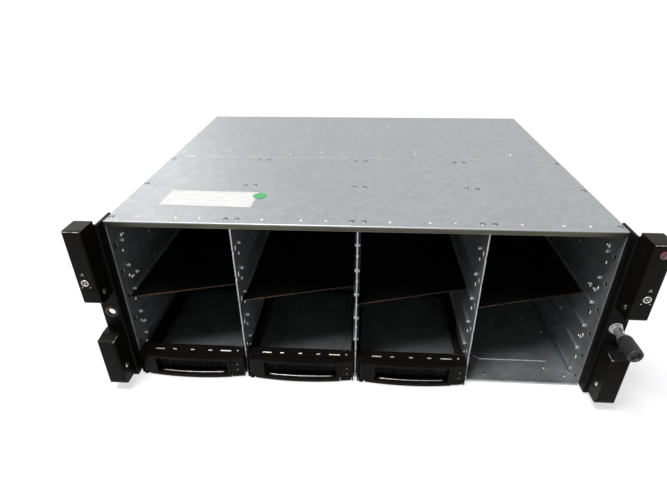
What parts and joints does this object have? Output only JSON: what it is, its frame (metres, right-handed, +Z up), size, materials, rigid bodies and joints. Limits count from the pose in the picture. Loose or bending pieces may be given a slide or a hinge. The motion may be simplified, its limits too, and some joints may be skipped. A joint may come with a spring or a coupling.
{
  "type": "disk shelf enclosure",
  "caption": "Rack-mounted sheet-metal shelf with columns of drive bays, black rack ears, sliding drive carriers and plug-in rear modules.",
  "frame": {"origin": "underside of the chassis floor, at the middle of the chassis in plan", "axes": "+X right seen from the front, +Z up, the drive bays open towards -Y"},
  "size_m": [0.4846, 0.4188, 0.18],
  "materials": {
    "galvanised_steel": "spangled zinc on folded sheet",
    "black_plastic": "fine moulded texture, semi-gloss",
    "black_paint": "black powder coat",
    "knob_plastic": "matt black, fluted",
    "bright_metal": "nickel plated",
    "contact_metal": "bright spring sheet",
    "clear_plastic": "smoked light pipe",
    "red_plastic": "red button with a dark centre",
    "board": "dark green circuit board",
    "connector_plastic": "black moulded connector"
  },
  "bodies": {
    "chassis": {"chassis_floor": "galvanised_steel", "side_wall_left": "galvanised_steel", "side_wall_right": "galvanised_steel", "top_cover_front": "galvanised_steel", "top_cover_rear": "galvanised_steel", "divider_1": "galvanised_steel", "divider_2": "galvanised_steel", "divider_3": "galvanised_steel", "mid_shelves": "black_paint", "cover_rivets": "bright_metal", "midplane_board": "board", "drive_connectors": "connector_plastic", "midplane_brackets": "galvanised_steel", "rear_partitions": "galvanised_steel", "rear_shelves": "galvanised_steel", "blank_panels": "galvanised_steel", "ear_bracket_left": "black_paint", "ear_bracket_right": "black_paint", "ear_cap_upper_left": "black_plastic", "ear_cap_upper_right": "black_plastic", "ear_cap_lower_left": "black_plastic", "ear_cap_lower_right": "black_plastic", "status_rings": "bright_metal", "ear_cap_screws": "bright_metal", "thumbscrew_bush": "bright_metal"},
    "alarm_button": {"alarm_button": "red_plastic"},
    "thumbscrew_ring": {"thumbscrew_ring": "bright_metal"},
    "thumbscrew": {"thumbscrew": "knob_plastic"},
    "carrier_1": {"carrier_frame_1": "black_plastic", "carrier_light_pipes_1": "clear_plastic", "carrier_contact_strip_1": "contact_metal"},
    "carrier_lever_1": {"carrier_lever_1": "black_plastic"},
    "carrier_catch_1": {"carrier_catch_1": "black_plastic"},
    "carrier_2": {"carrier_frame_2": "black_plastic", "carrier_light_pipes_2": "clear_plastic", "carrier_contact_strip_2": "contact_metal"},
    "carrier_lever_2": {"carrier_lever_2": "black_plastic"},
    "carrier_catch_2": {"carrier_catch_2": "black_plastic"},
    "carrier_3": {"carrier_frame_3": "black_plastic", "carrier_light_pipes_3": "clear_plastic", "carrier_contact_strip_3": "contact_metal"},
    "carrier_lever_3": {"carrier_lever_3": "black_plastic"},
    "carrier_catch_3": {"carrier_catch_3": "black_plastic"},
    "power_module_left": {"power_case_left": "galvanised_steel", "power_inlet_left": "connector_plastic"},
    "fan_rotor_left": {"power_rotor_left": "black_plastic"},
    "rocker_left": {"power_rocker_left": "black_plastic"},
    "power_latch_left": {"power_latch_left": "black_plastic"},
    "power_module_right": {"power_case_right": "galvanised_steel", "power_inlet_right": "connector_plastic"},
    "fan_rotor_right": {"power_rotor_right": "black_plastic"},
    "rocker_right": {"power_rocker_right": "black_plastic"},
    "power_latch_right": {"power_latch_right": "black_plastic"},
    "interface_module_lower": {"interface_case_lower": "galvanised_steel", "interface_ports_lower": "bright_metal"},
    "ejector_lower": {"interface_ejector_lower": "black_plastic"},
    "interface_module_upper": {"interface_case_upper": "galvanised_steel", "interface_ports_upper": "bright_metal"},
    "ejector_upper": {"interface_ejector_upper": "black_plastic"}
  },
  "joints": [
    {"name": "alarm_press", "type": "slide", "parent": "chassis", "child": "alarm_button", "axis": [0, 1, 0], "range_m": [0, 0.0015], "stiffness_N_per_m": 150},
    {"name": "thumbscrew_push", "type": "slide", "parent": "chassis", "child": "thumbscrew_ring", "axis": [0, 1, 0], "range_m": [0, 0.01]},
    {"name": "thumbscrew_turn", "type": "hinge", "parent": "thumbscrew_ring", "child": "thumbscrew", "pos_m": [0.23255, -0.193, 0.0835], "axis": [0, 1, 0], "continuous": true},
    {"name": "carrier_slide_1", "type": "slide", "parent": "chassis", "child": "carrier_1", "axis": [0, -1, 0], "range_m": [0, 0.14]},
    {"name": "lever_swing_1", "type": "hinge", "parent": "carrier_1", "child": "carrier_lever_1", "pos_m": [-0.2169, -0.1866, 0.0141], "axis": [0, 0, -1], "range_deg": [0, 58]},
    {"name": "catch_press_1", "type": "slide", "parent": "carrier_1", "child": "carrier_catch_1", "axis": [0, 1, 0], "range_m": [0, 0.0018], "stiffness_N_per_m": 150},
    {"name": "carrier_slide_2", "type": "slide", "parent": "chassis", "child": "carrier_2", "axis": [0, -1, 0], "range_m": [0, 0.14]},
    {"name": "lever_swing_2", "type": "hinge", "parent": "carrier_2", "child": "carrier_lever_2", "pos_m": [-0.1053, -0.1866, 0.0141], "axis": [0, 0, -1], "range_deg": [0, 58]},
    {"name": "catch_press_2", "type": "slide", "parent": "carrier_2", "child": "carrier_catch_2", "axis": [0, 1, 0], "range_m": [0, 0.0018], "stiffness_N_per_m": 150},
    {"name": "carrier_slide_3", "type": "slide", "parent": "chassis", "child": "carrier_3", "axis": [0, -1, 0], "range_m": [0, 0.14]},
    {"name": "lever_swing_3", "type": "hinge", "parent": "carrier_3", "child": "carrier_lever_3", "pos_m": [0.0063, -0.1866, 0.0141], "axis": [0, 0, -1], "range_deg": [0, 58]},
    {"name": "catch_press_3", "type": "slide", "parent": "carrier_3", "child": "carrier_catch_3", "axis": [0, 1, 0], "range_m": [0, 0.0018], "stiffness_N_per_m": 150},
    {"name": "power_slide_left", "type": "slide", "parent": "chassis", "child": "power_module_left", "axis": [0, 1, 0], "range_m": [0, 0.15]},
    {"name": "fan_spin_left", "type": "hinge", "parent": "power_module_left", "child": "fan_rotor_left", "pos_m": [-0.15335, 0.167, 0.04465], "axis": [0, 1, 0], "continuous": true},
    {"name": "rocker_tilt_left", "type": "hinge", "parent": "power_module_left", "child": "rocker_left", "pos_m": [-0.20535, 0.1816, 0.0508], "axis": [1, 0, 0], "range_deg": [0, 16]},
    {"name": "power_latch_swing_left", "type": "hinge", "parent": "power_module_left", "child": "power_latch_left", "pos_m": [-0.21735, 0.1858, 0.0748], "axis": [0, 0, 1], "range_deg": [0, 80]},
    {"name": "power_slide_right", "type": "slide", "parent": "chassis", "child": "power_module_right", "axis": [0, 1, 0], "range_m": [0, 0.15]},
    {"name": "fan_spin_right", "type": "hinge", "parent": "power_module_right", "child": "fan_rotor_right", "pos_m": [0.18135, 0.167, 0.04465], "axis": [0, 1, 0], "continuous": true},
    {"name": "rocker_tilt_right", "type": "hinge", "parent": "power_module_right", "child": "rocker_right", "pos_m": [0.12935, 0.1816, 0.0508], "axis": [1, 0, 0], "range_deg": [0, 16]},
    {"name": "power_latch_swing_right", "type": "hinge", "parent": "power_module_right", "child": "power_latch_right", "pos_m": [0.11735, 0.1858, 0.0748], "axis": [0, 0, 1], "range_deg": [0, 80]},
    {"name": "interface_slide_lower", "type": "slide", "parent": "chassis", "child": "interface_module_lower", "axis": [0, 1, 0], "range_m": [0, 0.15]},
    {"name": "ejector_swing_lower", "type": "hinge", "parent": "interface_module_lower", "child": "ejector_lower", "pos_m": [0.098, 0.1858, 0.02255], "axis": [0, 0, -1], "range_deg": [0, 80]},
    {"name": "interface_slide_upper", "type": "slide", "parent": "chassis", "child": "interface_module_upper", "axis": [0, 1, 0], "range_m": [0, 0.15]},
    {"name": "ejector_swing_upper", "type": "hinge", "parent": "interface_module_upper", "child": "ejector_upper", "pos_m": [0.098, 0.1858, 0.15265], "axis": [0, 0, -1], "range_deg": [0, 80]}
  ]
}
